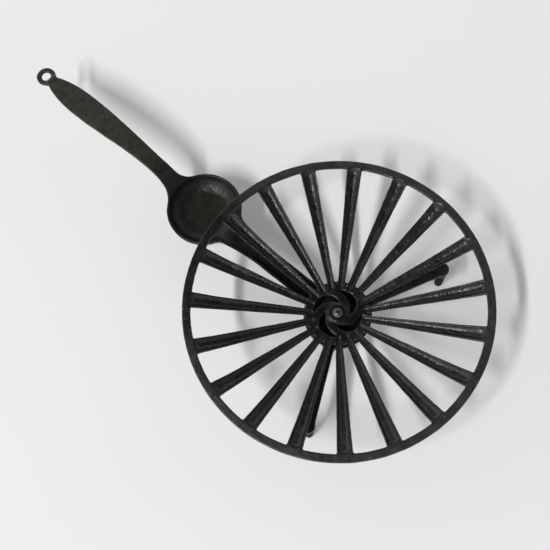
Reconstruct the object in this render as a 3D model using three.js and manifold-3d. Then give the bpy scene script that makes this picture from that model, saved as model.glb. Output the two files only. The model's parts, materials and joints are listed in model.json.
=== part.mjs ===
// A cast-iron revolving gridiron: a round grate of radiating gutters that spins on a rivet over a
// footed base. Fat runs down the gutters, through a pinwheel hub into a bowl, and along a trough to a
// dripping cup at the root of the handle.
//
// Millimetres, +Z up, z = 0 at the soles of the feet. +X points along the handle, and the object is
// centred on the origin in X and Y. Every solid is drawn around the pivot axis and then moved to PIVOT_X.

import * as THREE from 'three';
import { mergeVertices } from 'three/addons/utils/BufferGeometryUtils.js';
import Module from 'manifold-3d';

const wasm = await Module();
wasm.setup();

// ---- driving dimensions -------------------------------------------------------------------------

const GAP = 0.3; // between neighbouring solids
const PAST = 1; // how far a cutting solid runs past the face that it cuts
const WIDE = 60; // more than the width or depth of anything that a block trims

// Grate
const RIM_OUTER_R = 152.5;
const RIM_INNER_R = 144;
const RIM_THICK = 4;
const RIM_TOP = 84;
const BAR_COUNT = 19;
const HUB_R = 33;
const LIP_DROP_AT_RIM = 3; // rim top down to the gutters' lips, where they meet the rim
const LIP_DROP_AT_HUB = 29.4; // and where they meet the hub
const BAR_R_AT_HUB = 3.7;
const BAR_R_AT_RIM = 7.7;
const BAR_WALL_AT_HUB = 1.3; // thickness of a gutter's side at its lip
const BAR_WALL_AT_RIM = 1.6;
const BAR_NOSE_R = 142; // distance from the pivot to the centre of a gutter's round outer end
const GROOVE_NOSE_R = 137.5;
const GROOVE_DEPTH = 0.62; // depth of a groove over half its width: its section is part of a circle

// Pinwheel hub
const HUB_BOTTOM = 49;
const BOSS_R = 8.5;
const BOSS_TOP = 54.4;
const BOSS_SKIRT = 3; // how far the foot of the boss spreads
const VANE_TOP = 52.6;
const SLOT_COUNT = 4;
const SLOT_INNER_R = 12;
const SLOT_OUTER_R = 23.8;
const SLOT_SWEEP = 91; // degrees from a slot's inner corner to its tip
const SLOT_RISE = 60; // degrees in which its outer edge swings out to its full radius
const SLOT_START = 36; // degrees, the first slot's inner corner

// Pivot
const RIVET_R = 3;
const RIVET_HEAD_R = 5.6;
const RIVET_HEAD_H = 3.2;
const RIVET_TAIL_R = 4.6;
const RIVET_TAIL_H = 2;
const POST_R = 7.5;
const POST_FLARE = 1;
const WASHER_R = 8;
const WASHER_THICK = 1.5;

// Bowl under the hub
const BOWL_R = 34.5;
const BOWL_TOP = 47.6;
const BOWL_FLOOR = 38;
const BOWL_BOTTOM = 35.3;
const BOWL_WALL = 2.4;
const BOWL_ROUND = 8; // outside radius between its wall and its floor

// Dripping cup
const CUP_REACH = 182; // pivot to the cup's centre
const CUP_R = 40;
const CUP_TOP = 41.2;
const CUP_FLOOR = 28;
const CUP_BOTTOM = 25.4;
const CUP_WALL = 2.3;

// Trough from the bowl to the cup
const TROUGH_HALF = 11; // half its width for most of its length
const TROUGH_FLARE = 6; // added to that where it meets the cup
const TROUGH_FLARE_FROM = 92; // distance from the pivot where it starts to widen
const TROUGH_DEPTH = 12;
const TROUGH_WALL = 2.4;

// Handle and hanging eye
const EYE_REACH = 415.5;
const EYE_R = 10.5;
const EYE_HOLE_R = 5;
const EYE_TOP = 59.6;
const HANDLE_THICK = 3.6;

// Arms and feet
const ARM_ANGLE = 115.5; // degrees either side of the handle
const ARM_REACH = 116.5; // pivot to the centre of the arm's round end
const ARM_HALF_AT_BOWL = 5.2;
const ARM_HALF_AT_END = 6.8;
const ARM_THICK = 5;
const FOOT_TOP_R = 5.8;
const FOOT_SOLE_R = 4.2;
const FOOT_CHAMFER = 0.7;

const PIVOT_X = -(EYE_REACH + EYE_R - RIM_OUTER_R) / 2;

const rad = THREE.MathUtils.degToRad;
const BAR_RUN = RIM_INNER_R - HUB_R;
const BAR_SLOPE = Math.atan2(LIP_DROP_AT_HUB - LIP_DROP_AT_RIM, BAR_RUN);
const GROOVE_ROUND = (1 + GROOVE_DEPTH ** 2) / (2 * GROOVE_DEPTH); // a groove's radius over half its width

// Sides of round shapes
const rimSegments = 76; // four to each gutter
const hubSegments = 57; // three to each gutter
const bowlSegments = 48;
const eyeSegments = 32;
const pegSegments = 24;
const rodSegments = 14;

// ---- solids ---------------------------------------------------------------------------------------

// A closed geometry as a manifold solid: shared vertices merged, slivers dropped, faces turned out.
function solid(geometry) {
  geometry.deleteAttribute('normal');
  geometry.deleteAttribute('uv');
  const merged = mergeVertices(geometry, 1e-4);
  const points = merged.attributes.position;
  const corner = [new THREE.Vector3(), new THREE.Vector3(), new THREE.Vector3()];
  const triangles = [];
  let volume = 0;
  for (let i = 0; i < merged.index.count; i += 3) {
    const [a, b, c] = [0, 1, 2].map((k) => merged.index.getX(i + k));
    if (a === b || b === c || c === a) {
      continue;
    }
    triangles.push(a, b, c);
    [a, b, c].forEach((vertex, k) => corner[k].fromBufferAttribute(points, vertex));
    volume += corner[0].dot(corner[1].cross(corner[2]));
  }
  if (volume < 0) {
    triangles.reverse();
  }
  const vertProperties = new Float32Array(points.array);
  const triVerts = new Uint32Array(triangles);
  return new wasm.Manifold(new wasm.Mesh({ numProp: 3, vertProperties, triVerts }));
}

// A profile of [radius, height] points, turned about the Z axis.
function turned(profile, segments) {
  const points = profile.map(([r, z]) => new THREE.Vector2(r, z));
  return solid(new THREE.LatheGeometry(points, segments).rotateX(Math.PI / 2));
}

function ring(innerR, outerR, bottom, top, segments) {
  const profile = [[innerR, bottom], [outerR, bottom], [outerR, top], [innerR, top], [innerR, bottom]];
  return turned(profile, segments);
}

function disc(radius, bottom, top, segments) {
  return turned([[0, bottom], [radius, bottom], [radius, top], [0, top]], segments);
}

function block(x0, x1, y0, y1, z0, z1) {
  const geometry = new THREE.BoxGeometry(x1 - x0, y1 - y0, z1 - z0);
  return solid(geometry.translate((x0 + x1) / 2, (y0 + y1) / 2, (z0 + z1) / 2));
}

// A flat outline in X and Y, given a thickness from bottom to top.
function plate(outline, bottom, top) {
  const shape = new THREE.Shape(outline.map(([x, y]) => new THREE.Vector2(x, y)));
  const geometry = new THREE.ExtrudeGeometry(shape, { depth: top - bottom, bevelEnabled: false });
  return solid(geometry.translate(0, 0, bottom));
}

// Points of an arc, in degrees, both ends included. It is an ellipse where radiusY is given.
function arc(cx, cy, radius, from, to, steps, radiusY = radius) {
  return Array.from({ length: steps + 1 }, (_, i) => {
    const angle = rad(from + ((to - from) * i) / steps);
    return [cx + radius * Math.cos(angle), cy + radiusY * Math.sin(angle)];
  });
}

// Points along a smooth line through a few given ones.
function smooth(points, steps) {
  const curve = new THREE.SplineCurve(points.map(([x, y]) => new THREE.Vector2(x, y)));
  return curve.getPoints(steps).map((p) => [p.x, p.y]);
}

// ---- grate ----------------------------------------------------------------------------------------

function grateRim() {
  return ring(RIM_INNER_R, RIM_OUTER_R, RIM_TOP - RIM_THICK, RIM_TOP, rimSegments);
}

// A tapered round rod with a round nose. fromR and noseR are distances from the pivot. The rod's axis is
// startRise and endRise above the gutters' lips. A rod along the lips is turned so that two corners of
// its section come to them.
function slopingRod(fromR, noseR, startRadius, endRadius, startRise = 0, endRise = 0) {
  const climb = lipHeight(noseR) + endRise - lipHeight(fromR) - startRise;
  const length = Math.hypot(noseR - fromR, climb);
  const turn = rad(13);
  const nose = arc(0, length, endRadius, 0, 90, 3);
  const points = [[0, 0], [startRadius, 0], ...nose.slice(0, -1), [0, length + endRadius]];
  const rod = new THREE.LatheGeometry(points.map(([r, y]) => new THREE.Vector2(r, y)), rodSegments);
  rod.rotateY(turn).rotateZ(-Math.PI / 2).rotateY(-Math.atan2(climb, noseR - fromR));
  return solid(rod.translate(fromR, 0, lipHeight(fromR) + startRise));
}

// Half the width of a gutter's groove at its lips.
function grooveHalf(r) {
  const share = (r - HUB_R) / BAR_RUN;
  const atHub = BAR_R_AT_HUB - BAR_WALL_AT_HUB;
  return atHub + (BAR_R_AT_RIM - BAR_WALL_AT_RIM - atHub) * share;
}

// The solid that hollows a gutter.
function grooveRod() {
  const fromR = HUB_R - 2 * PAST;
  const ends = [fromR, GROOVE_NOSE_R].map(grooveHalf);
  const [startRise, endRise] = ends.map((half) => half * (GROOVE_ROUND - GROOVE_DEPTH));
  return slopingRod(fromR, GROOVE_NOSE_R, ends[0] * GROOVE_ROUND, ends[1] * GROOVE_ROUND, startRise, endRise);
}

function lipHeight(r) {
  return RIM_TOP - LIP_DROP_AT_RIM - (RIM_INNER_R - r) * Math.tan(BAR_SLOPE);
}

// One gutter: the lower half of a rod, hollowed, and trimmed where the rim and the hub begin.
function gutterBar() {
  const above = new THREE.BoxGeometry(2 * BAR_RUN, WIDE, WIDE).translate(0, 0, WIDE / 2);
  above.rotateY(-BAR_SLOPE).translate(RIM_INNER_R, 0, lipHeight(RIM_INNER_R));
  const rimBottom = RIM_TOP - RIM_THICK - GAP;
  const underRim = block(BAR_NOSE_R, RIM_OUTER_R, -WIDE / 2, WIDE / 2, rimBottom, RIM_TOP + PAST)
    .subtract(disc(RIM_INNER_R - GAP, 0, RIM_TOP + 2 * PAST, rimSegments));
  return slopingRod(HUB_R - PAST, BAR_NOSE_R, BAR_R_AT_HUB, BAR_R_AT_RIM)
    .subtract(grooveRod())
    .subtract(solid(above))
    .subtract(underRim)
    .subtract(disc(HUB_R + GAP, 0, RIM_TOP, hubSegments));
}

// One crescent slot of the pinwheel, its inner corner on the X axis, sweeping anticlockwise to a tip.
function slotOutline() {
  const steps = 10;
  const outer = [];
  const inner = [];
  for (let i = 0; i <= steps; i += 1) {
    const share = i / steps;
    const rise = Math.sin(Math.min(1, (share * SLOT_SWEEP) / SLOT_RISE) * (Math.PI / 2));
    const angle = rad(share * SLOT_SWEEP);
    const outerR = SLOT_INNER_R + (SLOT_OUTER_R - SLOT_INNER_R) * rise;
    const innerR = SLOT_INNER_R + (SLOT_OUTER_R - SLOT_INNER_R) * share ** 1.5;
    outer.push([outerR * Math.cos(angle), outerR * Math.sin(angle)]);
    inner.push([innerR * Math.cos(angle), innerR * Math.sin(angle)]);
  }
  return [...outer, ...inner.slice(1, -1).reverse()];
}

// The hub: a dished disc with a raised boss, four crescent slots and the tails of the gutters' grooves.
function grateHub() {
  const holeR = RIVET_R + GAP;
  const skirtTop = VANE_TOP + 0.6;
  let hub = turned([
    [holeR, HUB_BOTTOM],
    [HUB_R, HUB_BOTTOM],
    [HUB_R, lipHeight(HUB_R)],
    [SLOT_OUTER_R, VANE_TOP],
    [BOSS_R + BOSS_SKIRT, skirtTop],
    [BOSS_R, BOSS_TOP],
    [holeR, BOSS_TOP],
    [holeR, HUB_BOTTOM],
  ], hubSegments);
  const slot = plate(slotOutline(), HUB_BOTTOM - PAST, BOSS_TOP + PAST);
  for (let i = 0; i < SLOT_COUNT; i += 1) {
    hub = hub.subtract(slot.rotate([0, 0, SLOT_START + (i * 360) / SLOT_COUNT]));
  }
  const grooveR = grooveHalf(HUB_R) * GROOVE_ROUND;
  const grooveLength = 12;
  const grooveAt = HUB_R - grooveLength / 4;
  const grooveRise = grooveHalf(HUB_R) * (GROOVE_ROUND - GROOVE_DEPTH);
  const groove = new THREE.CylinderGeometry(grooveR, grooveR * 0.85, grooveLength, 12);
  groove.rotateZ(-Math.PI / 2).rotateY(-BAR_SLOPE);
  const tail = solid(groove.translate(grooveAt, 0, lipHeight(grooveAt) + grooveRise));
  for (let i = 0; i < BAR_COUNT; i += 1) {
    hub = hub.subtract(tail.rotate([0, 0, (i * 360) / BAR_COUNT]));
  }
  return hub;
}

// ---- pivot ----------------------------------------------------------------------------------------

const washerTop = BOWL_BOTTOM - GAP;
const rivetTailTop = washerTop - WASHER_THICK - GAP;

// Domed head over the hub, shank through hub and post, peened tail under the washer.
function pivotRivet() {
  const headBottom = BOSS_TOP + GAP;
  const tail = arc(0, rivetTailTop, RIVET_TAIL_R, -90, 0, 4, RIVET_TAIL_H).slice(1);
  const head = arc(0, headBottom, RIVET_HEAD_R, 0, 90, 5, RIVET_HEAD_H).slice(0, -1);
  return turned([
    [0, rivetTailTop - RIVET_TAIL_H],
    ...tail,
    [RIVET_R, rivetTailTop],
    [RIVET_R, headBottom],
    ...head,
    [0, headBottom + RIVET_HEAD_H],
  ], pegSegments);
}

function rivetWasher() {
  return ring(RIVET_R + GAP, WASHER_R, washerTop - WASHER_THICK, washerTop, pegSegments);
}

// ---- base -----------------------------------------------------------------------------------------

// The trough's section is half an ellipse. Its lips fall in a straight line from bowl to cup.
const troughStart = BOWL_R + GAP;
const troughEnd = CUP_REACH - CUP_R + 8; // inside the cup, so that the cup's round wall trims it

function troughHalf(x) {
  const flare = Math.max(0, (x - TROUGH_FLARE_FROM) / (CUP_REACH - CUP_R - TROUGH_FLARE_FROM));
  return TROUGH_HALF + TROUGH_FLARE * flare ** 2;
}

function troughCore(fromX, toX, wall, above) {
  const rod = new THREE.CylinderGeometry(1, 1, 1, 20, 10).rotateZ(-Math.PI / 2);
  const points = rod.attributes.position;
  for (let i = 0; i < points.count; i += 1) {
    const x = fromX + (toX - fromX) * (points.getX(i) + 0.5);
    const share = (x - troughStart) / (troughEnd - troughStart);
    const half = troughHalf(x) - wall;
    const lip = THREE.MathUtils.lerp(BOWL_TOP, CUP_TOP, share);
    const depth = points.getZ(i) < 0 ? TROUGH_DEPTH - wall : above;
    points.setXYZ(i, x, points.getY(i) * half, lip + points.getZ(i) * depth);
  }
  return solid(rod);
}

// The channel that fat runs along, cut through the walls of the bowl and the cup as well.
function troughChannel() {
  const arch = 0.5; // height of the cut above the lips
  return troughCore(BOWL_R - 2 * BOWL_WALL, troughEnd + 2 * CUP_WALL, TROUGH_WALL, arch);
}

function bowlEnvelope(grow) {
  return disc(BOWL_R + grow, 0, RIM_TOP, bowlSegments);
}

function cupEnvelope(grow) {
  return disc(CUP_R + grow, 0, RIM_TOP, bowlSegments).translate([CUP_REACH, 0, 0]);
}

function dripBowl() {
  const inner = BOWL_R - BOWL_WALL;
  const innerRound = BOWL_ROUND - BOWL_WALL;
  return turned([
    [RIVET_R + GAP, BOWL_BOTTOM],
    ...arc(BOWL_R - BOWL_ROUND, BOWL_BOTTOM + BOWL_ROUND, BOWL_ROUND, -90, 0, 4),
    [BOWL_R, BOWL_TOP],
    [inner, BOWL_TOP],
    ...arc(inner - innerRound, BOWL_FLOOR + innerRound, innerRound, 0, -90, 4),
    [POST_R + POST_FLARE, BOWL_FLOOR],
    [POST_R, BOWL_FLOOR + 2 * POST_FLARE],
    [POST_R, HUB_BOTTOM - GAP],
    [RIVET_R + GAP, HUB_BOTTOM - GAP],
    [RIVET_R + GAP, BOWL_BOTTOM],
  ], bowlSegments).subtract(troughChannel());
}

function drainTrough() {
  const run = troughEnd - troughStart;
  const above = new THREE.BoxGeometry(3 * run, WIDE, WIDE).translate(0, 0, WIDE / 2);
  above.rotateY(Math.atan2(BOWL_TOP - CUP_TOP, run)).translate(troughStart, 0, BOWL_TOP);
  return troughCore(BOWL_R - BOWL_ROUND, troughEnd, 0, TROUGH_DEPTH)
    .subtract(solid(above))
    .subtract(troughChannel())
    .subtract(bowlEnvelope(GAP))
    .subtract(cupEnvelope(GAP));
}

// Its wall leans out a little from a rounded bottom. The points are a radius and a height above the
// bottom on the outside, and above the floor on the inside.
function drippingCup() {
  const inner = CUP_R - CUP_WALL;
  const outside = [[28, 0], [34, 2.6], [38, 8], [CUP_R, CUP_TOP - CUP_BOTTOM]];
  const inside = [[inner, CUP_TOP - CUP_FLOOR], [36, 6.2], [32.4, 1.8], [26, 0]];
  return turned([
    [0, CUP_BOTTOM],
    ...smooth(outside.map(([r, z]) => [r, CUP_BOTTOM + z]), 5),
    ...smooth(inside.map(([r, z]) => [r, CUP_FLOOR + z]), 5),
    [0, CUP_FLOOR],
  ], bowlSegments)
    .translate([CUP_REACH, 0, 0])
    .subtract(troughChannel());
}

// Distance from the pivot and half-width, from the neck at the eye to the flare on the cup's wall.
const handleHalfWidths = [
  [409, 5.8], [404.5, 6.8], [397, 9.4], [385, 12], [370, 13.7], [354, 14.1], [330, 13.5], [304, 11.9],
  [278, 10.1], [253, 9], [238, 9.2], [229, 10.5], [224, 13.7], [216, 20.5],
];

// Distance from the pivot and height of the handle's upper face: a gooseneck, then a long low arch.
const handleCrest = [
  [210, 40.8], [221, 42.4], [229, 49.4], [239, 58.8], [255, 64.8], [283, 68.2], [330, 65.8],
  [380, 61.6], [427, EYE_TOP],
];

function handle() {
  const side = smooth(handleHalfWidths, 40);
  const outline = [...side, ...side.map(([x, y]) => [x, -y]).reverse()];
  const crest = smooth(handleCrest, 36);
  const belly = crest.map(([x, z], i) => {
    const [x0, z0] = crest[Math.max(0, i - 1)];
    const [x1, z1] = crest[Math.min(crest.length - 1, i + 1)];
    const length = Math.hypot(x1 - x0, z1 - z0);
    return [x + ((z1 - z0) / length) * HANDLE_THICK, z - ((x1 - x0) / length) * HANDLE_THICK];
  });
  const band = new THREE.Shape([...crest, ...belly.reverse()].map(([x, z]) => new THREE.Vector2(x, z)));
  const strap = new THREE.ExtrudeGeometry(band, { depth: WIDE, bevelEnabled: false });
  return solid(strap.rotateX(Math.PI / 2).translate(0, WIDE / 2, 0))
    .intersect(plate(outline, 0, RIM_TOP))
    .subtract(cupEnvelope(GAP))
    .subtract(disc(EYE_R + GAP, 0, RIM_TOP, eyeSegments).translate([EYE_REACH, 0, 0]));
}

function hangingEye() {
  return ring(EYE_HOLE_R, EYE_R, EYE_TOP - HANDLE_THICK, EYE_TOP, eyeSegments)
    .translate([EYE_REACH, 0, 0]);
}

// An arm lies along +X here: it widens from the bowl to a round end.
function baseArm() {
  const end = arc(ARM_REACH, 0, ARM_HALF_AT_END, -90, 90, 12);
  const startX = BOWL_R - BOWL_WALL;
  const outline = [[startX, -ARM_HALF_AT_BOWL], ...end, [startX, ARM_HALF_AT_BOWL]];
  return plate(outline, BOWL_TOP - ARM_THICK, BOWL_TOP).subtract(bowlEnvelope(GAP));
}

// A tapered peg standing on its sole.
function foot(top) {
  const sole = [[0, 0], [FOOT_SOLE_R - FOOT_CHAMFER, 0], [FOOT_SOLE_R, FOOT_CHAMFER]];
  return turned([...sole, [FOOT_TOP_R, top], [0, top]], pegSegments);
}

// ---- assembly -------------------------------------------------------------------------------------

const CASTING = 0x2b2c2a; // seasoned black iron
const HANDLED = 0x343530; // where hands have browned it
const WROUGHT = 0x3a332e;

const object = new THREE.Group();
object.position.x = PIVOT_X;

// Adds one named mesh, turned about the pivot axis and placed at a distance from it.
function addPart(name, body, { turn = 0, reach = 0, color = CASTING, roughness = 0.62 } = {}) {
  const mesh = body.getMesh();
  const geometry = new THREE.BufferGeometry();
  geometry.setAttribute('position', new THREE.BufferAttribute(mesh.vertProperties, 3));
  geometry.setIndex(new THREE.BufferAttribute(mesh.triVerts, 1));
  geometry.computeVertexNormals();
  const material = new THREE.MeshStandardMaterial({ color, roughness, metalness: 0.55 });
  const part = new THREE.Mesh(geometry, material);
  part.name = name;
  part.rotation.z = rad(turn);
  part.position.set(reach * Math.cos(rad(turn)), reach * Math.sin(rad(turn)), 0);
  object.add(part);
}

addPart('grate_rim', grateRim());
addPart('grate_hub', grateHub());
const bar = gutterBar();
for (let i = 0; i < BAR_COUNT; i += 1) {
  addPart(`grate_bar_${String(i + 1).padStart(2, '0')}`, bar, { turn: (i * 360) / BAR_COUNT });
}

addPart('pivot_rivet', pivotRivet(), { color: WROUGHT, roughness: 0.45 });
addPart('rivet_washer', rivetWasher(), { color: WROUGHT, roughness: 0.5 });

addPart('drip_bowl', dripBowl());
addPart('drain_trough', drainTrough());
addPart('dripping_cup', drippingCup(), { roughness: 0.55 });
addPart('handle', handle(), { color: HANDLED });
addPart('hanging_eye', hangingEye(), { color: HANDLED });

const arm = baseArm();
const armFoot = foot(BOWL_TOP - ARM_THICK - GAP);
for (const [side, turn] of [['left', ARM_ANGLE], ['right', -ARM_ANGLE]]) {
  addPart(`arm_${side}`, arm, { turn });
  addPart(`foot_${side}`, armFoot, { turn, reach: ARM_REACH });
}
addPart('foot_cup', foot(CUP_BOTTOM - GAP), { reach: CUP_REACH });

export default object;
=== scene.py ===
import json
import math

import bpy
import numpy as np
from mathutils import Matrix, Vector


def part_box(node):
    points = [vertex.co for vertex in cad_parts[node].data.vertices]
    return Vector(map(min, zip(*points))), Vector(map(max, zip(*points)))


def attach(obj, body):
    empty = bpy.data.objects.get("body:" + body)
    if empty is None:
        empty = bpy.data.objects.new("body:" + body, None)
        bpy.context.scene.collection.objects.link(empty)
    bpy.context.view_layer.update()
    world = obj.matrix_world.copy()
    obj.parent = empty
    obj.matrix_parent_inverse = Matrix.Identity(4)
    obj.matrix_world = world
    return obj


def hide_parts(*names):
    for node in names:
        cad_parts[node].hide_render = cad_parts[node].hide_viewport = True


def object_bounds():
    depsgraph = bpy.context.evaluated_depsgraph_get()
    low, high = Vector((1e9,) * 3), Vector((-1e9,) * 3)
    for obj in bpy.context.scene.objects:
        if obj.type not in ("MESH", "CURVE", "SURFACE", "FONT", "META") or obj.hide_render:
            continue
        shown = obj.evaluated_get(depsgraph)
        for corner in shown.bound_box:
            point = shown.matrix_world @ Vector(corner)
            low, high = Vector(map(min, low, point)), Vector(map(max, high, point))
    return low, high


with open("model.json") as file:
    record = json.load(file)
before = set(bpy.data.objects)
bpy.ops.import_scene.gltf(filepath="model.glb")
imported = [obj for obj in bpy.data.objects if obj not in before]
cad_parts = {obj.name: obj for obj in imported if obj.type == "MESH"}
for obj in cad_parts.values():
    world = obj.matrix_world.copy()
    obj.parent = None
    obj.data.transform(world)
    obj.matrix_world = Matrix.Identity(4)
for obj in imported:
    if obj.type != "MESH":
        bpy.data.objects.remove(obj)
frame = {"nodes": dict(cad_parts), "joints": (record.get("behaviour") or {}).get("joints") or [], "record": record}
cad_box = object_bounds()

# A revolving gridiron in cast iron: a grate of radiating gutters on a footed base, with its rivet and washer.
#
# Each casting is a field, a function of x, y and z that gives the distance to the surface, negative inside.
# Fields join with fillets, as cast iron does. The surface where a field is zero becomes one closed mesh.
# Fields work in millimetres from the pivot axis, with z = 0 at the soles.
# The meshes are in metres, in the frame.

MM = 0.001
pivot_x, pivot_y, _ = frame["joints"][0]["pos_m"]
PIVOT = np.array([pivot_x, pivot_y, 0.0])


def box_mm(node):
    """Lowest and highest corner of a CAD node, in millimetres from the pivot axis."""
    low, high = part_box(node)
    return (np.array(low) - PIVOT) / MM, (np.array(high) - PIVOT) / MM


# ---- dimensions, in millimetres ----------------------------------------------------------------------

rim_low, rim_high = box_mm("grate_rim")
hub_low, hub_high = box_mm("grate_hub")
_, bar_high = box_mm("grate_bar_01")
bowl_low, bowl_high = box_mm("drip_bowl")
cup_low, cup_high = box_mm("dripping_cup")
eye_low, eye_high = box_mm("hanging_eye")
arm_low, arm_high = box_mm("arm_left")
foot_low, foot_high = box_mm("foot_left")
rivet_low, rivet_high = box_mm("pivot_rivet")
washer_low, washer_high = box_mm("rivet_washer")

BAR_COUNT = sum(name.startswith("grate_bar_") for name in frame["nodes"])
SECTOR = 2 * math.pi / BAR_COUNT
RIM_R = rim_high[0]
RIM_WIDTH = 8.5
RIM_INNER_R = RIM_R - RIM_WIDTH
HUB_R = hub_high[1]
LIP_AT_RIM = rim_high[2] - 3.0  # height of the gutters' lips where they meet the rim
LIP_AT_HUB = hub_high[2]
SLOPE = math.atan2(LIP_AT_RIM - LIP_AT_HUB, RIM_INNER_R - HUB_R)
RIM_EDGE = 1.0
RIM_FILLET = 2.0  # between gutters and rim
ROD_FILLET = 1.6  # between one gutter and the next, and the hub
LIP_EDGE = 0.45
GROOVE_EDGE = 0.5
SLOT_EDGE = 0.9
BORE_EDGE = 0.3
UNEVENNESS = 0.11  # of both castings
GUTTER_R_AT_HUB = 3.7
GUTTER_R_AT_RIM = bar_high[1]
GUTTER_WALL_AT_HUB = 1.3  # at the lips
GUTTER_WALL_AT_RIM = 1.6
GROOVE_DEPTH = 0.62  # depth of a groove over half its width: its section is part of a circle
GROOVE_ROUND = (1 + GROOVE_DEPTH**2) / (2 * GROOVE_DEPTH)  # that circle's radius over the same half width
ROD_NOSE_R = 142.0  # distance from the pivot to the centre of a rod's round end, hidden in the rim
GROOVE_END_R = RIM_INNER_R + 0.9
GROOVE_END_ROUND = 4.6
GROOVE_END_SLANT = 0.2  # how far its end leans back for each millimetre of depth
GROOVE_START_R = 26.6
LIFT_FROM_R = 116.0  # from here the lips climb to the rim's top face
LIFT = 2.7

DISH_TOP = 52.6
DISC_EDGE = 1.0
CROWN = 0.9  # how far the blades between the slots rise above the dish
CROWN_RUN = 1.8  # distance from a slot over which a blade rises most of the way
CROWN_FADE = 6  # distance past the slots at which the crown has gone
BOSS_R = 8.5
BOSS_TOP = rivet_high[2] - 3.5
BOSS_LEAN = 1.1  # how far its wall leans out for each millimetre down
BOSS_STEEP = 0.67  # turns a distance from the axis into one from that leaning wall
BOSS_FILLET = 3.0
HUB_EDGE = 0.8
SLOT_INNER_R = 12.0
SLOT_OUTER_R = 23.8
SLOT_COUNT = 4
SLOT_START = 36.0  # degrees, the first slot's inner corner
SLOT_RISE = 60.0  # degrees in which a slot's outer edge swings out to its full radius
SLOT_SWEEP = 91.0
SLOT_STEEP = 0.75  # turns a distance from the axis into about that from a slot's slanting side
BORE_R = 3.3
HEAD_GAP = 0.6  # under the rivet's head
HEAD_EDGE = 0.5
SHANK_R = 3.0
TAIL_R = 4.6
TAIL_GAP = 0.3  # between tail and washer
TAIL_ROUND = 1.1
BLOWS = 0.07  # unevenness left by the hammer

BOWL_R = bowl_high[1]
BOWL_TOP = 47.6
BOWL_BOTTOM = bowl_low[2]
BOWL_FLOOR = 38.0
BOWL_WALL = 2.4
BOWL_ROUND = 8.0  # between its wall and its bottom, outside
BOWL_ROUND_INSIDE = 5.6
VESSEL_FILLET = 5.0  # between bowl, trough and cup, outside
VESSEL_EDGE = 0.9  # at the lips, outside
VESSEL_EDGE_INSIDE = 0.8
POST_R = 7.5
POST_TOP = bowl_high[2]
POST_EDGE = 0.7
POST_FILLET = 4.0

CUP = (cup_low + cup_high) / 2
CUP_R = cup_high[1]
CUP_TOP = cup_high[2]
CUP_BOTTOM = cup_low[2]
CUP_FLOOR = CUP_BOTTOM + 2.6
CUP_WALL = 2.3
CUP_ROUND = 11.5
CUP_ROUND_INSIDE = 16.0
CUP_LEAN = 0.1  # how far its wall leans out for each millimetre of height

TROUGH_HALF = 11.0
TROUGH_FLARE = 6.0
TROUGH_FLARE_FROM = 92.0
TROUGH_DEPTH = 12.0
TROUGH_WALL = 2.4
TROUGH_START = BOWL_R - 6  # inside the bowl
TROUGH_END = CUP[0] - CUP_R + 12  # inside the cup

EYE = (eye_low + eye_high) / 2
EYE_R = eye_high[1]
EYE_HOLE_R = 5.0
EYE_TOP = eye_high[2]
HANDLE_THICK = EYE_TOP - eye_low[2]
STRAP_EDGE = 1.3  # of handle and eye
EYE_FILLET = 4.0
HANDLE_FILLET = 2.5  # at the cup
HANDLE_TOP = 70.0  # above all of the base

ARM_ANGLE = math.radians(115.5)
ARM_THICK = 5.0
ARM_EDGE = 1.6
ARM_HALF_AT_BOWL = 5.2
ARM_HALF_AT_END = 6.2
ARM_FILLET = 5.0  # at the bowl
PADDLE_R = 7.0  # the round end of an arm
PADDLE_FILLET = 2.0
FOOT = (foot_low + foot_high) / 2
ARM_REACH = math.hypot(FOOT[0], FOOT[1])
FOOT_TOP_R = (foot_high[0] - foot_low[0]) / 2
FOOT_SOLE_R = 4.2
FOOT_EDGE = 0.8
FOOT_FILLET = 4.0  # under the arms and under the cup

# Distance from the pivot and half-width, from the flare on the cup's wall to the neck at the eye.
HANDLE_HALF_WIDTHS = [
    (216, 20.5), (224, 13.7), (229, 10.5), (238, 9.2), (253, 9), (278, 10.1), (304, 11.9),
    (330, 13.5), (354, 14.1), (370, 13.7), (385, 12), (397, 9.4), (404.5, 6.8), (409, 5.8),
]

# Distance from the pivot and height of the handle's upper face: a gooseneck, then a long low arch.
HANDLE_CREST = [
    (210, 40.8), (221, 42.4), (229, 49.4), (239, 58.8), (255, 64.8), (283, 68.2), (330, 65.8),
    (380, 61.6), (427, EYE_TOP),
]


# ---- fields ------------------------------------------------------------------------------------------

def join(a, b, fillet):
    """Both shapes, with a fillet in the corner between them."""
    near = np.maximum(fillet - np.abs(a - b), 0) / fillet
    return np.minimum(a, b) - near * near * fillet / 4


def trim(a, b, edge):
    """What the two shapes share, with a rounded edge of that radius."""
    a = a + edge
    b = b + edge
    return np.hypot(np.maximum(a, 0), np.maximum(b, 0)) + np.minimum(np.maximum(a, b), 0) - edge


def cut(a, b, edge):
    """The first shape without the second."""
    return trim(a, -b, edge)


def between(value, low, high):
    """Negative where value lies between low and high."""
    return np.abs(value - (low + high) / 2) - (high - low) / 2


def blend(start, end, share):
    return start + (end - start) * share


def smooth_line(points, steps):
    """Points on a smooth line through the given ones, as two arrays."""
    knots = np.array([points[0], *points, points[-1]], float)
    found = []
    for a, b, c, d in zip(knots, knots[1:], knots[2:], knots[3:]):
        for t in np.linspace(0, 1, steps, endpoint=False):
            found.append(0.5 * (2 * b + (c - a) * t + (2 * a - 5 * b + 4 * c - d) * t**2
                                + (3 * b - a - 3 * c + d) * t**3))
    found.append(knots[-1])
    return np.array(found).T


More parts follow.
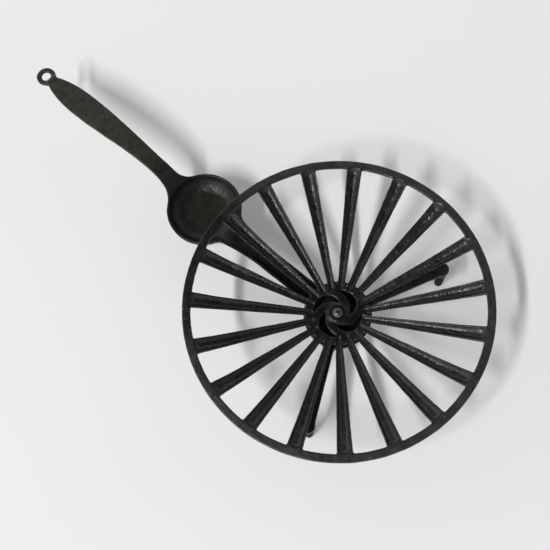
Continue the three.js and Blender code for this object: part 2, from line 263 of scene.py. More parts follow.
def ripple(x, y, z, height):
    """The slow unevenness of a sand casting."""
    draw = np.random.default_rng(19)
    total = 0
    for length in (9, 12, 17, 23, 31, 43):
        ray = draw.normal(size=3)
        ray *= 2 * math.pi / length / np.linalg.norm(ray)
        total = total + np.sin(ray[0] * x + ray[1] * y + ray[2] * z + draw.uniform(0, 6.28))
    return (total / 3 + 0.8) * height


def gutter(x, y, z):
    """A gutter lying along +X: the round-bottomed rod that it is cast as, and the groove in its top."""
    cos, sin = math.cos(SLOPE), math.sin(SLOPE)
    along = (x - RIM_INNER_R) * cos + (z - LIP_AT_RIM) * sin
    above = (z - LIP_AT_RIM) * cos - (x - RIM_INNER_R) * sin
    share = np.clip((x - HUB_R) / (RIM_INNER_R - HUB_R), 0, 1)
    outer = blend(GUTTER_R_AT_HUB, GUTTER_R_AT_RIM, share)
    wall = blend(GUTTER_WALL_AT_HUB, GUTTER_WALL_AT_RIM, share)
    climb = np.clip((x - LIFT_FROM_R) / (RIM_INNER_R - LIFT_FROM_R), 0, 1)
    over_lip = above - LIFT * climb**2 * (3 - 2 * climb)
    sunk = np.minimum(above, 0)
    side = np.hypot(np.hypot(y, np.maximum(x - ROD_NOSE_R, 0)), sunk) - outer
    rod = trim(side, over_lip, LIP_EDGE)
    rod = np.maximum(rod, HUB_R - 3 - x)
    before = np.maximum((GROOVE_START_R - RIM_INNER_R) / cos - along, 0)
    half = outer - wall
    over_centre = over_lip - half * (GROOVE_ROUND - GROOVE_DEPTH)
    groove = np.hypot(np.hypot(y, before), over_centre) - half * GROOVE_ROUND
    end = (x - GROOVE_END_R - GROOVE_END_SLANT * np.minimum(over_lip, 0)) / math.hypot(1, GROOVE_END_SLANT)
    return rod, trim(groove, end, GROOVE_END_ROUND)


def slots(x, y):
    """The four crescent slots of the pinwheel, as seen from above."""
    r = np.hypot(x, y)
    pitch = 360 / SLOT_COUNT
    turn = (np.degrees(np.arctan2(y, x)) - SLOT_START) % pitch
    reach = SLOT_OUTER_R - SLOT_INNER_R
    nearest = None
    for degrees in (turn, turn - pitch):
        outer = SLOT_INNER_R + reach * np.sin(np.clip(degrees / SLOT_RISE, -1, 1) * math.pi / 2)
        inner = SLOT_INNER_R + reach * np.maximum(degrees / SLOT_SWEEP, 0) ** 1.5
        gap = np.maximum(r - outer, inner - r)
        nearest = gap if nearest is None else np.minimum(nearest, gap)
    return nearest * SLOT_STEEP


def hub(x, y, z):
    """The dished hub with its boss, its blades crowned between the slots."""
    r = np.hypot(x, y)
    past_dish = r - SLOT_OUTER_R
    dish = DISH_TOP + (past_dish + np.sqrt(past_dish**2 + 4)) / 2 * math.tan(SLOPE)
    slot = slots(x, y)
    crown = (1 - np.exp(-np.maximum(slot, 0) / CROWN_RUN)) * np.clip(1 - past_dish / CROWN_FADE, 0, 1)
    disc = trim(r - HUB_R, z - dish - CROWN * crown, DISC_EDGE)
    boss = trim((r - BOSS_R - (BOSS_TOP - z) * BOSS_LEAN) * BOSS_STEEP, z - BOSS_TOP, HUB_EDGE)
    solid = trim(join(disc, boss, BOSS_FILLET), hub_low[2] - z, HUB_EDGE)
    return cut(solid, slot, SLOT_EDGE)


def grate(x, y, z):
    """The whole grate: rim, gutters and hub."""
    r = np.hypot(x, y)
    turn = np.arctan2(y, x)
    local = (turn + SECTOR / 2) % SECTOR - SECTOR / 2
    rim = trim(between(r, RIM_INNER_R, RIM_R), between(z, rim_low[2], rim_high[2]), RIM_EDGE)
    rod, groove = gutter(r * np.cos(local), r * np.sin(local), z)
    other = local - np.sign(local) * SECTOR
    second, _ = gutter(r * np.cos(other), r * np.sin(other), z)
    body = join(join(rod, second, ROD_FILLET), rim, RIM_FILLET)
    body = join(body, hub(x, y, z), ROD_FILLET)
    body = cut(body, groove, GROOVE_EDGE)
    body = cut(body, np.maximum(slots(x, y), r - SLOT_OUTER_R - 1), SLOT_EDGE)
    body = cut(body, r - BORE_R, BORE_EDGE)
    return body + ripple(x, y, z, UNEVENNESS)


def trough(x, y, z, wall):
    """The trough's half-elliptical section, from bowl to cup, filled up to above its lips."""
    widening = np.maximum(x - TROUGH_FLARE_FROM, 0) / (CUP[0] - CUP_R - TROUGH_FLARE_FROM)
    half = TROUGH_HALF + TROUGH_FLARE * np.minimum(widening, 1.1) ** 2 - wall
    depth = TROUGH_DEPTH - wall
    sunk = np.minimum(z - lip_line(x), 0)
    size = np.hypot(y / half, sunk / depth)
    steep = np.hypot(y / half**2, sunk / depth**2) + 1e-6
    section = size * (size - 1) / steep
    section = np.where(size < 0.3, -0.7 * half, section)  # that estimate fails near the middle
    return np.maximum(section, between(x, TROUGH_START, TROUGH_END))


def lip_line(x):
    """Height of the lips, falling in a straight line from bowl to cup."""
    return np.interp(x, [BOWL_R, CUP[0] - CUP_R + 8], [BOWL_TOP, CUP_TOP])


def vessels(x, y, z, inside):
    """Bowl, trough and cup as one solid, or the space inside them."""
    r_bowl = np.hypot(x, y)
    r_cup = np.hypot(x - CUP[0], y) + CUP_LEAN * (CUP_TOP - z)
    if inside:
        bowl = trim(r_bowl - BOWL_R + BOWL_WALL, BOWL_FLOOR - z, BOWL_ROUND_INSIDE)
        cup = trim(r_cup - CUP_R + CUP_WALL, CUP_FLOOR - z, CUP_ROUND_INSIDE)
        return join(join(bowl, trough(x, y, z, TROUGH_WALL), 2.0), cup, 3.0)
    bowl = trim(r_bowl - BOWL_R, BOWL_BOTTOM - z, BOWL_ROUND)
    cup = trim(r_cup - CUP_R, CUP_BOTTOM - z, CUP_ROUND)
    return join(join(bowl, trough(x, y, z, 0), VESSEL_FILLET), cup, VESSEL_FILLET)


handle_x, handle_half = smooth_line(HANDLE_HALF_WIDTHS, 4)
crest_x, crest_z = smooth_line(HANDLE_CREST, 5)


def handle(x, y, z):
    """A flat strap that follows the crest, half a thickness below it."""
    away = np.full_like(x, 1e3)
    for x0, z0, x1, z1 in zip(crest_x, crest_z, crest_x[1:], crest_z[1:]):
        run, rise = x1 - x0, z1 - z0
        length = math.hypot(run, rise)
        down = HANDLE_THICK / 2 / length
        px = x - x0 - rise * down
        pz = z - z0 + run * down
        share = np.clip((px * run + pz * rise) / length**2, 0, 1)
        away = np.minimum(away, np.hypot(px - share * run, pz - share * rise))
    side = np.abs(y) - np.interp(x, handle_x, handle_half)
    strap = trim(away - HANDLE_THICK / 2, side, STRAP_EDGE)
    return trim(strap, between(x, handle_x[0], EYE[0] - EYE_HOLE_R - 2), 1.0)


def eye(x, y, z):
    """The hanging eye, a flat ring."""
    r = np.hypot(x - EYE[0], y)
    return trim(between(r, EYE_HOLE_R, EYE_R), between(z, EYE_TOP - HANDLE_THICK, EYE_TOP), STRAP_EDGE)


def arm(x, y, z):
    """Both arms at once: a point on the right is measured as its mirror image on the left."""
    y = np.abs(y)
    along = x * math.cos(ARM_ANGLE) + y * math.sin(ARM_ANGLE)
    across = y * math.cos(ARM_ANGLE) - x * math.sin(ARM_ANGLE)
    half = blend(ARM_HALF_AT_BOWL, ARM_HALF_AT_END, np.clip((along - BOWL_R) / (ARM_REACH - BOWL_R), 0, 1))
    plan = np.maximum(np.abs(across) - half, along - ARM_REACH)
    plan = join(plan, np.hypot(across, along - ARM_REACH) - PADDLE_R, PADDLE_FILLET)
    plan = np.maximum(plan, BOWL_R - 6 - along)
    return trim(plan, between(z, BOWL_TOP - ARM_THICK, BOWL_TOP), ARM_EDGE)


def peg(x, y, z, centre, top):
    """A tapered foot. A point on the right is measured as its mirror image on the left."""
    radius = blend(FOOT_SOLE_R, FOOT_TOP_R, np.clip(z / top, 0, 1))
    side = np.hypot(x - centre[0], np.abs(y) - centre[1]) - radius
    return trim(trim(side, -z, FOOT_EDGE), z - top, FOOT_EDGE)


def base(x, y, z):
    """The whole base: vessels, handle, eye, arms and feet."""
    body = trim(vessels(x, y, z, False), z - lip_line(x), VESSEL_EDGE)
    strap = join(handle(x, y, z), eye(x, y, z), EYE_FILLET)
    body = join(body, strap, HANDLE_FILLET)
    legs = join(arm(x, y, z), peg(x, y, z, FOOT, foot_high[2]), FOOT_FILLET)
    body = join(body, legs, ARM_FILLET)
    body = join(body, peg(x, y, z, (CUP[0], 0), CUP_BOTTOM + 1), FOOT_FILLET)
    body = cut(body, vessels(x, y, z, True), VESSEL_EDGE_INSIDE)
    r = np.hypot(x, y)
    post = trim(trim(r - POST_R, z - POST_TOP, POST_EDGE), BOWL_BOTTOM + 1 - z, POST_EDGE)
    body = cut(join(body, post, POST_FILLET), r - BORE_R, BORE_EDGE)
    return body + ripple(x, y, z, UNEVENNESS)


def rivet(x, y, z):
    """Domed head, shank, and a tail that was peened over the washer."""
    r = np.hypot(x, y)
    head_bottom = BOSS_TOP + HEAD_GAP
    head_r = rivet_high[0]
    head_h = rivet_high[2] - head_bottom
    dome_r = (head_r**2 + head_h**2) / (2 * head_h)
    dome = np.sqrt(r**2 + (z - rivet_high[2] + dome_r) ** 2) - dome_r
    head = trim(trim(dome, r - head_r, HEAD_EDGE), head_bottom - z, 0.2)
    tail_top = washer_low[2] - TAIL_GAP
    tail = trim(trim(r - TAIL_R, z - tail_top, 0.2), rivet_low[2] - z, TAIL_ROUND)
    shank = trim(r - SHANK_R, between(z, rivet_low[2] + 0.6, head_bottom + 1), 0.3)
    blows = np.sin(1.9 * x + 0.7) * np.sin(1.6 * y + 1.1) * BLOWS
    return join(join(head, shank, 0.3), tail, 0.3) + blows + 0.05


def washer(x, y, z):
    """A flat washer, loose on the shank."""
    r = np.hypot(x, y)
    plate = between(z, washer_low[2], washer_high[2])
    return trim(between(r, BORE_R, washer_high[0]), plate, 0.35) + 0.03


# ---- from field to mesh ------------------------------------------------------------------------------

def surface_net(values, wrap=False):
    """Points (in lattice steps) and quads of the surface where the values change sign.
    Each lattice cell that the surface crosses gives one point. wrap joins the second axis end to end."""
    if wrap:
        values = np.concatenate([values, values[:, :1]], axis=1)
    cells = tuple(n - 1 for n in values.shape)
    total = np.zeros((3, *cells))
    count = np.zeros(cells, int)
    crossings = []
    for axis in range(3):
        order = (axis, (axis + 1) % 3, (axis + 2) % 3)
        along = values.transpose(order)
        start, end = along[:-1], along[1:]
        crossed = (start < 0) != (end < 0)
        share = np.where(crossed, start / np.where(crossed, start - end, 1), 0)
        crossings.append((order, crossed, start < 0))
        cell_count = count.transpose(order)
        cell_total = [total[n].transpose(order) for n in order]
        for u in (0, 1):
            for v in (0, 1):
                part = (slice(None), slice(u, cells[order[1]] + u), slice(v, cells[order[2]] + v))
                cell_count += crossed[part]
                cell_total[0] += share[part]
                cell_total[1] += crossed[part] * u
                cell_total[2] += crossed[part] * v
    busy = count > 0
    number = np.full(cells, -1)
    number[busy] = np.arange(busy.sum())
    points = total[:, busy].T / count[busy][:, None] + np.argwhere(busy)
    quads = []
    for order, crossed, start_inside in crossings:
        ids = number.transpose(order)
        inner = [slice(None), slice(1, -1), slice(1, -1)]
        if wrap and order[0] != 1:
            side = order.index(1)
            ids = np.concatenate([np.take(ids, [-1], axis=side), ids], axis=side)
            inner[side] = slice(0, -1)
        crossed = crossed[tuple(inner)]
        start_inside = start_inside[tuple(inner)]
        ring = [ids[:, :-1, :-1], ids[:, 1:, :-1], ids[:, 1:, 1:], ids[:, :-1, 1:]]
        faces = np.stack([corner[crossed] for corner in ring], axis=1)
        turned = ~start_inside[crossed]
        faces[turned] = faces[turned][:, ::-1]
        quads.append(faces)
    return points, np.concatenate(quads)


def settle(points, quads, field, rounds):
    """Evens out the points along the surface and puts each one exactly on it."""
    edges = np.concatenate([quads[:, [0, 1]], quads[:, [1, 2]], quads[:, [2, 3]], quads[:, [3, 0]]])
    degree = np.maximum(np.bincount(edges.ravel(), minlength=len(points)), 1)[:, None]
    step = 0.02
    for _ in range(rounds):
        pull = np.zeros_like(points)
        for axis in range(3):
            pull[:, axis] = (np.bincount(edges[:, 0], points[edges[:, 1], axis], len(points))
                             + np.bincount(edges[:, 1], points[edges[:, 0], axis], len(points)))
        points = blend(points, pull / degree, 0.4)
        for _ in range(2):
            here = field(*points.T)
            slope = [field(*(points + step * np.eye(3)[axis]).T) - here for axis in range(3)]
            slope = np.stack(slope, axis=1) / step
            fall = np.maximum((slope**2).sum(axis=1), 0.2)
            move = np.clip(here / fall, -0.6, 0.6)
            points = points - slope * move[:, None]
    return points


def sample(field, axes, block=8):
    """Field values on a lattice. Blocks that the surface can't reach take their middle's value."""
    counts = [len(a) for a in axes]
    values = np.zeros(counts)
    starts = [np.arange(0, n, block) for n in counts]
    middles = [a[np.minimum(s + block // 2, n - 1)] for a, s, n in zip(axes, starts, counts)]
    coarse = field(*np.meshgrid(*middles, indexing="ij"))
    reach = 1.6 * block * (axes[0][1] - axes[0][0])
    for corner, value in np.ndenumerate(coarse):
        part = tuple(slice(s[i], s[i] + block) for s, i in zip(starts, corner))
        if abs(value) > reach:
            values[part] = value
    busy = np.argwhere(np.abs(coarse) <= reach)
    for group in np.array_split(busy, max(1, len(busy) // 500)):
        parts = [tuple(slice(s[i], s[i] + block) for s, i in zip(starts, corner)) for corner in group]
        grids = [np.meshgrid(*[a[p] for a, p in zip(axes, part)], indexing="ij") for part in parts]
        flat = [np.concatenate([g[n].ravel() for g in grids]) for n in range(3)]
        found = field(*flat)
        at = 0
        for part, grid in zip(parts, grids):
            size = grid[0].size
            values[part] = found[at:at + size].reshape(grid[0].shape)
            at += size
    return values


def add_mesh(name, points, quads):
    """A smooth-shaded mesh object from points in millimetres about the pivot. It keeps to the CAD box."""
    points = np.clip(points * MM + PIVOT, *cad_box)
    mesh = bpy.data.meshes.new(name)
    mesh.from_pydata(points.tolist(), [], quads.tolist())
    mesh.shade_smooth()
    piece = bpy.data.objects.new(name, mesh)
    bpy.context.scene.collection.objects.link(piece)
    return piece


def cast(name, field, low, high, step, rounds=3):
    """Meshes a field on a square lattice between two corners."""
    axes = [np.arange(a - 1.5 * step, b + 2.5 * step, step) for a, b in zip(low, high)]
    points, quads = surface_net(sample(field, axes))
    points = np.stack([np.interp(points[:, n], np.arange(len(axes[n])), axes[n]) for n in range(3)], axis=1)
    return add_mesh(name, settle(points, quads, field, rounds), quads)


# The grate's lattice turns with it: its lines run round the rim, along each gutter and up.
ACROSS = 44  # lattice steps to a sector
ON_GUTTER = 16  # of them either side of a gutter's middle, across the gutter itself
grate_radii = np.concatenate([
    np.arange(BORE_R - 2.2, HUB_R + 3, 1.2),
    np.arange(HUB_R + 4, RIM_INNER_R - 12, 3.0),
    np.arange(RIM_INNER_R - 11, RIM_R + 2, 1.0),
])
grate_levels = np.arange(-10.2, 8.6, 0.75)  # height above the line of the gutters' lips


def grate_point(lattice):
    """Where a point of the grate's lattice lies, in millimetres."""
    r = np.interp(lattice[..., 0], np.arange(len(grate_radii)), grate_radii)
    level = np.interp(lattice[..., 2], np.arange(len(grate_levels)), grate_levels)
    sector = np.round(lattice[..., 1] / ACROSS)
    across = lattice[..., 1] - sector * ACROSS
    share = np.clip((r - HUB_R) / (RIM_INNER_R - HUB_R), 0, 1)
    half = (blend(GUTTER_R_AT_HUB, GUTTER_R_AT_RIM, share) + 0.4) / r
    half = np.minimum(np.arcsin(np.minimum(half, 0.9)), 0.72 * SECTOR / 2)
    steps = np.abs(across)
    open_share = np.clip((steps - ON_GUTTER) / (ACROSS / 2 - ON_GUTTER), 0, 1) ** 1.3
    angle = np.minimum(steps / ON_GUTTER, 1) * half + open_share * (SECTOR / 2 - half)
    turn = sector * SECTOR + np.sign(across) * angle
    height = LIP_AT_RIM - (RIM_INNER_R - r) * math.tan(SLOPE) + level
    return np.stack([r * np.cos(turn), r * np.sin(turn), height], axis=-1)


def cast_grate(name):
    counts = (len(grate_radii), ACROSS * BAR_COUNT, len(grate_levels))
    lattice = np.stack(np.meshgrid(*[np.arange(n) for n in counts], indexing="ij"), axis=-1)
    values = grate(*np.moveaxis(grate_point(lattice), -1, 0))
    points, quads = surface_net(values, wrap=True)
    return add_mesh(name, settle(grate_point(points), quads, grate, 3), quads)


def thin(piece, most):
    """Merges faces where the surface is plain, to keep the piece under that many triangles."""
    triangles = sum(len(p.vertices) - 2 for p in piece.data.polygons)
    if triangles > most:
        modifier = piece.modifiers.new("thin", "DECIMATE")
        modifier.ratio = most / triangles
        shape = bpy.data.meshes.new_from_object(piece.evaluated_get(bpy.context.evaluated_depsgraph_get()))
        piece.modifiers.clear()
        piece.data = shape
        piece.data.name = piece.name


# ---- materials ---------------------------------------------------------------------------------------

def set_range(node, low, high, out_low, out_high):
    """Sets what a Map Range node takes in and gives out."""
    names = ("From Min", "From Max", "To Min", "To Max")
    for name, number in zip(names, (low, high, out_low, out_high)):
        node.inputs[name].default_value = number


class Nodes:
    """A material's node tree, with short ways to add what iron needs."""

    def __init__(self, name):
        self.material = bpy.data.materials.new(name)
        self.material.use_nodes = True
        self.tree = self.material.node_tree
        self.shader = self.tree.nodes["Principled BSDF"]
        self.place = self.tree.nodes.new("ShaderNodeTexCoord").outputs["Object"]

    def link(self, output, socket):
        self.tree.links.new(output, socket)

    def noise(self, scale, detail=4.0, roughness=0.6):
        node = self.tree.nodes.new("ShaderNodeTexNoise")
        node.inputs["Scale"].default_value = scale
        node.inputs["Detail"].default_value = detail
        node.inputs["Roughness"].default_value = roughness
        self.link(self.place, node.inputs["Vector"])
        return node.outputs["Fac"]

    def ramp(self, value, low, high, out_low=0.0, out_high=1.0):
        node = self.tree.nodes.new("ShaderNodeMapRange")
        node.interpolation_type = "SMOOTHSTEP"
        set_range(node, low, high, out_low, out_high)
        self.link(value, node.inputs["Value"])
        return node.outputs["Result"]

    def math(self, operation, a, b):
        node = self.tree.nodes.new("ShaderNodeMath")
        node.operation = operation
        for socket, value in zip(node.inputs, (a, b)):
            if isinstance(value, (int, float)):
                socket.default_value = value
            else:
                self.link(value, socket)
        return node.outputs["Value"]

    def mix(self, share, a, b):
        node = self.tree.nodes.new("ShaderNodeMix")
        node.data_type = "RGBA"
        if isinstance(share, (int, float)):
            node.inputs["Factor"].default_value = share
        else:
            self.link(share, node.inputs["Factor"])
        for socket, value in (("A", a), ("B", b)):
            found = [s for s in node.inputs if s.name == socket and s.type == "RGBA"][0]
            if isinstance(value, tuple):
                found.default_value = (*value, 1)
            else:
                self.link(value, found)
        return [s for s in node.outputs if s.type == "RGBA"][0]

    def near(self, point, inner, outer):
        """1 within inner metres of a point, falling to 0 at outer."""
        node = self.tree.nodes.new("ShaderNodeVectorMath")
        node.operation = "DISTANCE"
        self.link(self.place, node.inputs[0])
        node.inputs[1].default_value = point
        return self.ramp(node.outputs["Value"], inner, outer, 1.0, 0.0)

    def low_down(self, black, clean):
        """1 below the height black, in metres, falling to 0 at the height clean."""
        split = self.tree.nodes.new("ShaderNodeSeparateXYZ")
        self.link(self.place, split.inputs["Vector"])
        return self.ramp(split.outputs["Z"], black, clean, 1.0, 0.0)

    def worn_edges(self, low, high):
        """1 on sharp convex edges."""
        node = self.tree.nodes.new("ShaderNodeNewGeometry")
        return self.ramp(node.outputs["Pointiness"], low, high)

    def bump(self, layers, strength):
        """Stacks bumps: each is a height and its depth in metres. strength scales them all."""
        normal = None
        for height, depth in layers:
            node = self.tree.nodes.new("ShaderNodeBump")
            node.inputs["Distance"].default_value = depth
            self.link(height, node.inputs["Height"])
            self.link(strength, node.inputs["Strength"])
            if normal is not None:
                self.link(normal, node.inputs["Normal"])
            normal = node.outputs["Normal"]
        self.link(normal, self.shader.inputs["Normal"])


# The darker tone: painted shade on the base, and on the grate a darker tone round the pivot, in the gutters and
# over the cup.
DARKENED_TONE = (0.0022, 0.0028, 0.0022)
RUST = (0.030, 0.016, 0.013)
HANDLE_TURN = math.radians(138.34)  # the handle's direction in the picture, anticlockwise from its right
HUB_MIDDLE = (PIVOT[0], 0, MM * DISH_TOP)


def at_pivot(image_angle, distance, height):
    """A point in the frame, in metres. image_angle is in degrees, anticlockwise from the picture's right.
    distance is from the pivot axis. It and height are in millimetres."""
    angle = math.radians(image_angle) - HANDLE_TURN
    reach = MM * distance
    return Vector((PIVOT[0] + reach * math.cos(angle), reach * math.sin(angle), MM * height))


def iron(name, dark, light, cool, darkening, matt, rust_places, gloss, shine):
    """Seasoned cast iron, given two functions of the nodes: one makes the share of a darker tone (painted shade on
    the base), the other, matt, the share of dullness.
    rust_places is a list of (point, inner, outer, strength), the two radii in metres.
    gloss is its mean roughness, shine how much it reflects."""
    nodes = Nodes(name)
    patches = nodes.ramp(nodes.noise(24, 3), 0.35, 0.68)
    grime = nodes.ramp(nodes.noise(160, 5), 0.38, 0.66)
    tint = nodes.ramp(nodes.noise(62, 3), 0.5, 0.64)
    pits = nodes.ramp(nodes.noise(520, 2, 0.5), 0.34, 0.46, 0.0, 1.0)
    colour = nodes.mix(patches, dark, light)
    colour = nodes.mix(nodes.math("MULTIPLY", tint, 0.6), colour, cool)
    colour = nodes.mix(nodes.math("MULTIPLY", grime, 0.5), colour, tuple(0.5 * c for c in dark))
    # mixes in the darker tone; on the base this is painted shade
    if darkening is not None:
        colour = nodes.mix(darkening(nodes), colour, DARKENED_TONE)
    rust = None
    for point, inner, outer, strength in rust_places:
        patch = nodes.math("MULTIPLY", nodes.near(point, inner, outer), strength)
        rust = patch if rust is None else nodes.math("MAXIMUM", rust, patch)
    if rust is not None:
        spread = nodes.math("MULTIPLY", rust, nodes.ramp(nodes.noise(330, 4), 0.36, 0.62))
        colour = nodes.mix(spread, colour, RUST)
    wear = nodes.math("MULTIPLY", nodes.worn_edges(0.53, 0.64), nodes.ramp(nodes.noise(210, 4), 0.42, 0.7))
    wear = nodes.math("MULTIPLY", wear, 0.25)
    colour = nodes.mix(wear, colour, tuple(2 * c for c in light))
    nodes.link(colour, nodes.shader.inputs["Base Color"])
    rough = nodes.math("ADD", nodes.ramp(nodes.noise(75, 4), 0.3, 0.7, gloss - 0.08, gloss + 0.13),
                       nodes.math("MULTIPLY", wear, -0.10))
    if matt is not None:
        rough = nodes.math("MAXIMUM", rough, matt(nodes))
    nodes.link(rough, nodes.shader.inputs["Roughness"])
    nodes.shader.inputs["Metallic"].default_value = 0.0
    nodes.shader.inputs["Specular IOR Level"].default_value = shine
    nodes.shader.inputs["Specular Tint"].default_value = (0.985, 1.015, 0.985, 1)
    smoother_hub = nodes.ramp(nodes.near(HUB_MIDDLE, 0.026, 0.044), 0, 1, 1.0, 0.45)
    nodes.bump([
        (nodes.noise(900, 3, 0.7), 0.0001),
        (nodes.noise(300, 3), 0.00032),
        (nodes.noise(115, 2), 0.0009),
        (pits, 0.00008),
    ], smoother_hub)
    return nodes.material


def grate_darkening(nodes):
    """Share of the darker tone: most round the pivot and over the cup, and more in the gutters than on the rim."""
    middle = nodes.near(HUB_MIDDLE, 0.034, 0.110)
    gutters = nodes.math("MULTIPLY", nodes.near(HUB_MIDDLE, 0.1462, 0.1502), 0.93)
    over_cup = nodes.math("MULTIPLY", nodes.near(at_pivot(160, 140, rim_high[2]), 0.045, 0.110), 0.85)
    return nodes.math("MAXIMUM", nodes.math("MAXIMUM", middle, gutters), over_cup)


def base_painted_shade(nodes):
    """Painted shade: darkest low down, under the grate, and up the handle's neck from the cup. On the cup's floor
    the painted shade is weaker.
    """
    neck = nodes.near((PIVOT[0] + MM * CUP[0], 0, MM * CUP_BOTTOM), 0.048, 0.086)
    # painted shade on the low parts and on the neck
    darkening = nodes.math("MULTIPLY", nodes.math("MAXIMUM", nodes.low_down(0.044, 0.058), neck), 0.85)
    # the painted shade is eased off on the cup's floor
    shade_eased_in_cup = nodes.math("MULTIPLY", nodes.near(at_pivot(136, CUP[0] - 5, CUP_FLOOR), 0.018, 0.042), 0.42)
    return nodes.math("SUBTRACT", darkening, shade_eased_in_cup)


def base_matt(nodes):
    """Dull low down, except inside the cup."""
    cup = nodes.near((PIVOT[0] + MM * CUP[0], 0, MM * CUP_TOP), 0.034, 0.046)
    return nodes.math("MULTIPLY", nodes.low_down(0.028, 0.042), nodes.math("SUBTRACT", 1.0, cup))


grate_iron = iron(
    "grate_iron", dark=(0.022, 0.0245, 0.021), light=(0.035, 0.0375, 0.0325), cool=(0.027, 0.0292, 0.0305),
    darkening=grate_darkening, matt=None, rust_places=[
        (at_pivot(0, 10, DISH_TOP), 0.003, 0.010, 0.5),
        (at_pivot(30, 24, DISH_TOP - 3), 0.002, 0.008, 0.6),
    ], gloss=0.28, shine=0.42)
base_iron = iron(
    "base_iron", dark=(0.0198, 0.0215, 0.0150), light=(0.0275, 0.0300, 0.0210), cool=(0.0225, 0.0250, 0.0205),
    darkening=base_painted_shade, matt=base_matt, rust_places=[
        ((PIVOT[0], 0, MM * BOWL_FLOOR), 0.012, 0.030, 0.15),
    ], gloss=0.33, shine=0.30)
rivet_iron = iron(
    "rivet_iron", dark=(0.013, 0.0125, 0.012), light=(0.026, 0.024, 0.022), cool=(0.022, 0.022, 0.024),
    darkening=None, matt=None, rust_places=[
        (at_pivot(0, 6.5, rivet_high[2] - 2), 0.002, 0.006, 0.8),
    ], gloss=0.27, shine=1.0)


# ---- pieces ------------------------------------------------------------------------------------------

bodies = frame["record"]["behaviour"]["bodies"]

MOST_TRIANGLES = 190_000  # in each casting
CASTING_STEP = 0.9  # lattice steps, in millimetres
RIVET_STEP = 0.35

grate_piece = cast_grate("grate_casting")
thin(grate_piece, MOST_TRIANGLES)

base_low = np.array([arm_low[0], -arm_high[1], 0.0])
base_high = np.array([eye_high[0], arm_high[1], HANDLE_TOP])
base_piece = cast("base_casting", base, base_low, base_high, CASTING_STEP)
thin(base_piece, MOST_TRIANGLES)

rivet_piece = cast("forged_rivet", rivet, rivet_low, rivet_high, RIVET_STEP)
washer_piece = cast("washer", washer, washer_low, washer_high, RIVET_STEP)

for piece, body, nodes_replaced, slot, material in [
    (grate_piece, "grate", bodies["grate"], "grate_iron", grate_iron),
    (base_piece, "base", [n for n in bodies["base"] if "rivet" not in n], "base_iron", base_iron),
    (rivet_piece, "base", ["pivot_rivet"], "rivet_iron", rivet_iron),
    (washer_piece, "base", ["rivet_washer"], "rivet_iron", rivet_iron),
]:
    piece.data.materials.append(material)
    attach(piece, body)
    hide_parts(*nodes_replaced)


# ---- floor, light and camera -------------------------------------------------------------------------

WALL_HEIGHT = 0.15  # sine of the elevation up to which the studio is as bright as its walls
CEILING_HEIGHT = 0.85  # and from which it is as dark as its ceiling
BRIGHT_SIDE = 185  # the picture's direction in which its walls are brightest
FLOOR_HALF = 18.0
FLOOR_COLOURS = (0.80, 0.80, 0.805), (0.84, 0.84, 0.845)


def add_floor():
    half = FLOOR_HALF
    mesh = bpy.data.meshes.new("floor")
    corners = [(-half, -half, 0), (half, -half, 0), (half, half, 0), (-half, half, 0)]
    mesh.from_pydata(corners, [], [(0, 1, 2, 3)])
    floor = bpy.data.objects.new("floor", mesh)
    bpy.context.scene.collection.objects.link(floor)
    nodes = Nodes("floor")
    nodes.link(nodes.mix(nodes.noise(2, 2), *FLOOR_COLOURS), nodes.shader.inputs["Base Color"])
    nodes.shader.inputs["Roughness"].default_value = 0.9
    nodes.shader.inputs["Specular IOR Level"].default_value = 0.1
    mesh.materials.append(nodes.material)


def add_light(name, image_angle, elevation, distance, width, length, power):
    """A strip light whose length runs up and down the picture."""
    light = bpy.data.lights.new(name, "AREA")
    light.shape = "RECTANGLE"
    light.size = width
    light.size_y = length
    light.energy = power
    lamp = bpy.data.objects.new(name, light)
    bpy.context.scene.collection.objects.link(lamp)
    turn = math.radians(image_angle) - HANDLE_TURN
    rise = math.radians(elevation)
    away = Vector((math.cos(turn) * math.cos(rise), math.sin(turn) * math.cos(rise), math.sin(rise)))
    up_picture = Vector((-math.sin(-HANDLE_TURN), math.cos(-HANDLE_TURN), 0))
    long_side = (up_picture - away * up_picture.dot(away)).normalized()
    place = Matrix((long_side.cross(away), long_side, away)).transposed().to_4x4()
    place.translation = Vector(PIVOT) + away * distance
    lamp.matrix_world = place


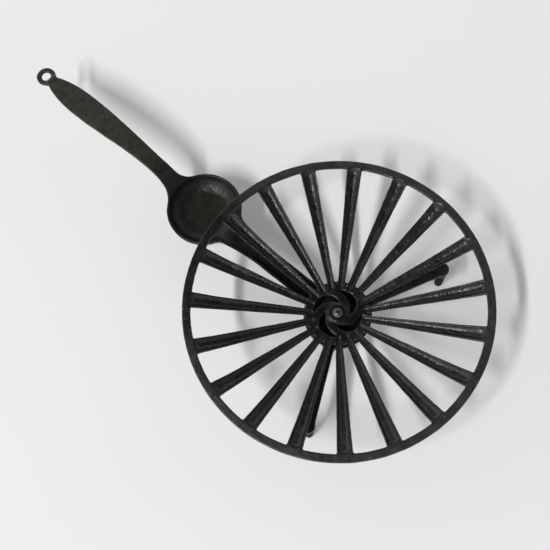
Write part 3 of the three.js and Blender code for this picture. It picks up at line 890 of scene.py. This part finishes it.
def add_sky(strength_up, strength_side, uneven):
    """A studio with walls lighter than its ceiling, most of all on the picture's left."""
    world = bpy.data.worlds.new("studio")
    world.use_nodes = True
    tree = world.node_tree
    place = tree.nodes.new("ShaderNodeTexCoord")
    split = tree.nodes.new("ShaderNodeSeparateXYZ")
    ramp = tree.nodes.new("ShaderNodeMapRange")
    tree.links.new(place.outputs["Generated"], split.inputs["Vector"])
    tree.links.new(split.outputs["Z"], ramp.inputs["Value"])
    set_range(ramp, WALL_HEIGHT, CEILING_HEIGHT, strength_side, strength_up)
    towards = tree.nodes.new("ShaderNodeVectorMath")
    towards.operation = "DOT_PRODUCT"
    tree.links.new(place.outputs["Generated"], towards.inputs[0])
    turn = math.radians(BRIGHT_SIDE) - HANDLE_TURN
    towards.inputs[1].default_value = (math.cos(turn), math.sin(turn), 0)
    side = tree.nodes.new("ShaderNodeMapRange")
    tree.links.new(towards.outputs["Value"], side.inputs["Value"])
    set_range(side, -1, 1, 1 - uneven, 1 + uneven)
    strength = tree.nodes.new("ShaderNodeMath")
    strength.operation = "MULTIPLY"
    tree.links.new(ramp.outputs["Result"], strength.inputs[0])
    tree.links.new(side.outputs["Result"], strength.inputs[1])
    background = tree.nodes["Background"]
    background.inputs["Color"].default_value = (1, 1, 1, 1)
    tree.links.new(strength.outputs["Value"], background.inputs["Strength"])
    bpy.context.scene.world = world


LENS = 65.45
SHIFT = -0.0003, 0.0009
TILT, LEAN, ROLL = 17.886, 2.990, -1.632  # degrees
CAMERA_FROM_RIM = (-0.17266, 0.20783, 0.93415)  # metres from the middle of the rim's top


def add_camera():
    """Nearly overhead, leaning a little towards the handle's side."""
    data = bpy.data.cameras.new("camera")
    data.sensor_width = 36.0
    data.lens = LENS
    data.shift_x, data.shift_y = SHIFT
    data.clip_end = 20.0
    camera = bpy.data.objects.new("camera", data)
    bpy.context.scene.collection.objects.link(camera)
    turn = Matrix.Rotation(-HANDLE_TURN, 3, "Z")
    tilt = Matrix.Rotation(math.radians(TILT), 3, "X")
    lean = Matrix.Rotation(math.radians(LEAN), 3, "Y")
    roll = Matrix.Rotation(math.radians(ROLL), 3, "Z")
    along_x, along_y, up = CAMERA_FROM_RIM
    place = Vector(PIVOT) + Vector((along_x, along_y, up + rim_high[2] * MM))
    camera.matrix_world = Matrix.Translation(place) @ (turn @ tilt @ lean @ roll).to_4x4()
    bpy.context.scene.camera = camera


add_floor()
add_sky(strength_up=0.08, strength_side=1.58, uneven=0.45)
add_light("key", image_angle=223.4, elevation=53.0, distance=9.0, width=0.42, length=3.6, power=520)
add_camera()
bpy.context.scene.view_settings.view_transform = "Standard"
